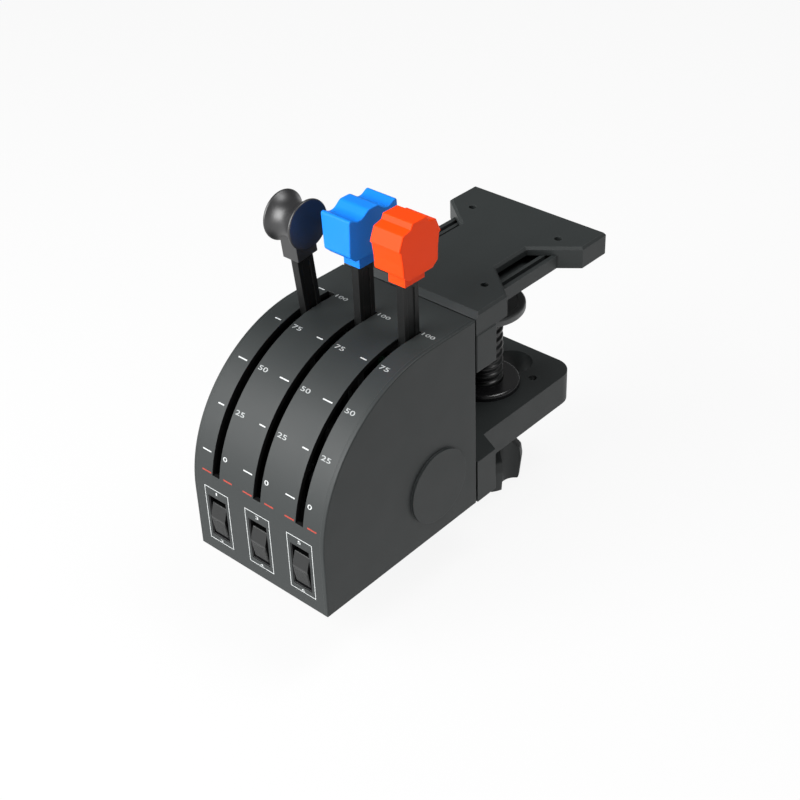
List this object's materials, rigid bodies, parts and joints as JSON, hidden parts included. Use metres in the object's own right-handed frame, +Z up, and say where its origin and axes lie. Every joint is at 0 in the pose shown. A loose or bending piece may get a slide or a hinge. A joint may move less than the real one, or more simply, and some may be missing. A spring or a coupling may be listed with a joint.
{
  "type": "throttle quadrant",
  "caption": "Desk-clamped throttle quadrant: curved housing with slotted levers, shaped knobs, rocker switches and a screw clamp with upper plate, lower jaw, pad and star knob.",
  "frame": {"origin": "on the underside of the upper bracket, where the clamp screw's axis meets it", "axes": "+X across the quadrant to the user's right, +Y away from the user, +Z up along the clamp screw"},
  "size_m": [0.1136, 0.2732, 0.2647],
  "materials": {
    "charcoal_plastic": "fine matte grain",
    "black_plastic": "matte",
    "spool_black": "glossy",
    "blue_plastic": "satin",
    "red_plastic": "satin",
    "arm_plastic": "satin, drawn grain",
    "gear_plastic": "natural, slippery",
    "steel": "zinc plated",
    "washer_plastic": "slippery",
    "sensor_blue": "satin",
    "board_green": "glass fibre laminate",
    "screw_plastic": "satin",
    "pad_plastic": "satin"
  },
  "bodies": {
    "base": {"housing_shell": "charcoal_plastic", "left_side_cover": "charcoal_plastic", "right_side_cover": "charcoal_plastic", "base_plate": "charcoal_plastic", "case_screws": "steel", "lever_shaft": "steel", "shaft_spacers": "washer_plastic", "sensor_bracket": "steel", "angle_sensor_1": "sensor_blue", "angle_sensor_2": "sensor_blue", "angle_sensor_3": "sensor_blue", "switch_body_1": "black_plastic", "switch_body_2": "black_plastic", "switch_body_3": "black_plastic", "circuit_board": "board_green", "data_socket": "steel", "bracket_frame": "charcoal_plastic", "bracket_plate": "charcoal_plastic", "lower_jaw": "charcoal_plastic", "bracket_screws": "steel", "screw_nut": "black_plastic"},
    "lever_1": {"lever_arm_1": "arm_plastic", "spool_knob": "spool_black"},
    "pinion_1": {"sensor_pinion_1": "gear_plastic", "sensor_shaft_1": "steel"},
    "lever_2": {"lever_arm_2": "arm_plastic", "wave_knob": "blue_plastic"},
    "pinion_2": {"sensor_pinion_2": "gear_plastic", "sensor_shaft_2": "steel"},
    "lever_3": {"lever_arm_3": "arm_plastic", "facet_knob": "red_plastic"},
    "pinion_3": {"sensor_pinion_3": "gear_plastic", "sensor_shaft_3": "steel"},
    "button_1": {"rocker_1": "black_plastic"},
    "button_2": {"rocker_2": "black_plastic"},
    "button_3": {"rocker_3": "black_plastic"},
    "clamp_pad": {"clamp_pad": "pad_plastic"},
    "clamp_screw": {"clamp_screw": "screw_plastic", "star_knob": "charcoal_plastic"}
  },
  "joints": [
    {"name": "lever_1_swing", "type": "hinge", "parent": "base", "child": "lever_1", "pos_m": [-0.0352, -0.1125, -0.0895], "axis": [1, 0, 0], "range_deg": [-6.2, 66.8]},
    {"name": "sensor_1_turn", "type": "hinge", "parent": "base", "child": "pinion_1", "pos_m": [-0.0352, -0.13513, -0.11213], "axis": [1, 0, 0], "range_deg": [-201.4, 19.6]},
    {"name": "lever_2_swing", "type": "hinge", "parent": "base", "child": "lever_2", "pos_m": [0, -0.1125, -0.0895], "axis": [1, 0, 0], "range_deg": [0, 73]},
    {"name": "sensor_2_turn", "type": "hinge", "parent": "base", "child": "pinion_2", "pos_m": [0, -0.13513, -0.11213], "axis": [1, 0, 0], "range_deg": [-220, 1]},
    {"name": "lever_3_swing", "type": "hinge", "parent": "base", "child": "lever_3", "pos_m": [0.0352, -0.1125, -0.0895], "axis": [1, 0, 0], "range_deg": [0, 73]},
    {"name": "sensor_3_turn", "type": "hinge", "parent": "base", "child": "pinion_3", "pos_m": [0.0352, -0.13513, -0.11213], "axis": [1, 0, 0], "range_deg": [-220, 1]},
    {"name": "rocker_1_tilt", "type": "hinge", "parent": "base", "child": "button_1", "pos_m": [-0.0352, -0.206, -0.1015], "axis": [1, 0, 0], "range_deg": [-7, 7], "stiffness_Nm_per_rad": 0.25},
    {"name": "rocker_2_tilt", "type": "hinge", "parent": "base", "child": "button_2", "pos_m": [0, -0.206, -0.1015], "axis": [1, 0, 0], "range_deg": [-7, 7], "stiffness_Nm_per_rad": 0.25},
    {"name": "rocker_3_tilt", "type": "hinge", "parent": "base", "child": "button_3", "pos_m": [0.0352, -0.206, -0.1015], "axis": [1, 0, 0], "range_deg": [-7, 7], "stiffness_Nm_per_rad": 0.25},
    {"name": "clamp_travel", "type": "slide", "parent": "base", "child": "clamp_pad", "axis": [0, 0, 1], "range_m": [-0.052, 0.018]},
    {"name": "clamp_turn", "type": "hinge", "parent": "clamp_pad", "child": "clamp_screw", "pos_m": [0, 0, -0.08], "axis": [0, 0, 1], "range_deg": [-2937, 1024.5]}
  ],
  "couplings": [
    {"joint": "sensor_1_turn", "follows": "lever_1_swing", "ratio": -3},
    {"joint": "sensor_2_turn", "follows": "lever_2_swing", "ratio": -3},
    {"joint": "sensor_3_turn", "follows": "lever_3_swing", "ratio": -3},
    {"joint": "clamp_turn", "follows": "clamp_travel", "rad_per_m": 981.75}
  ]
}
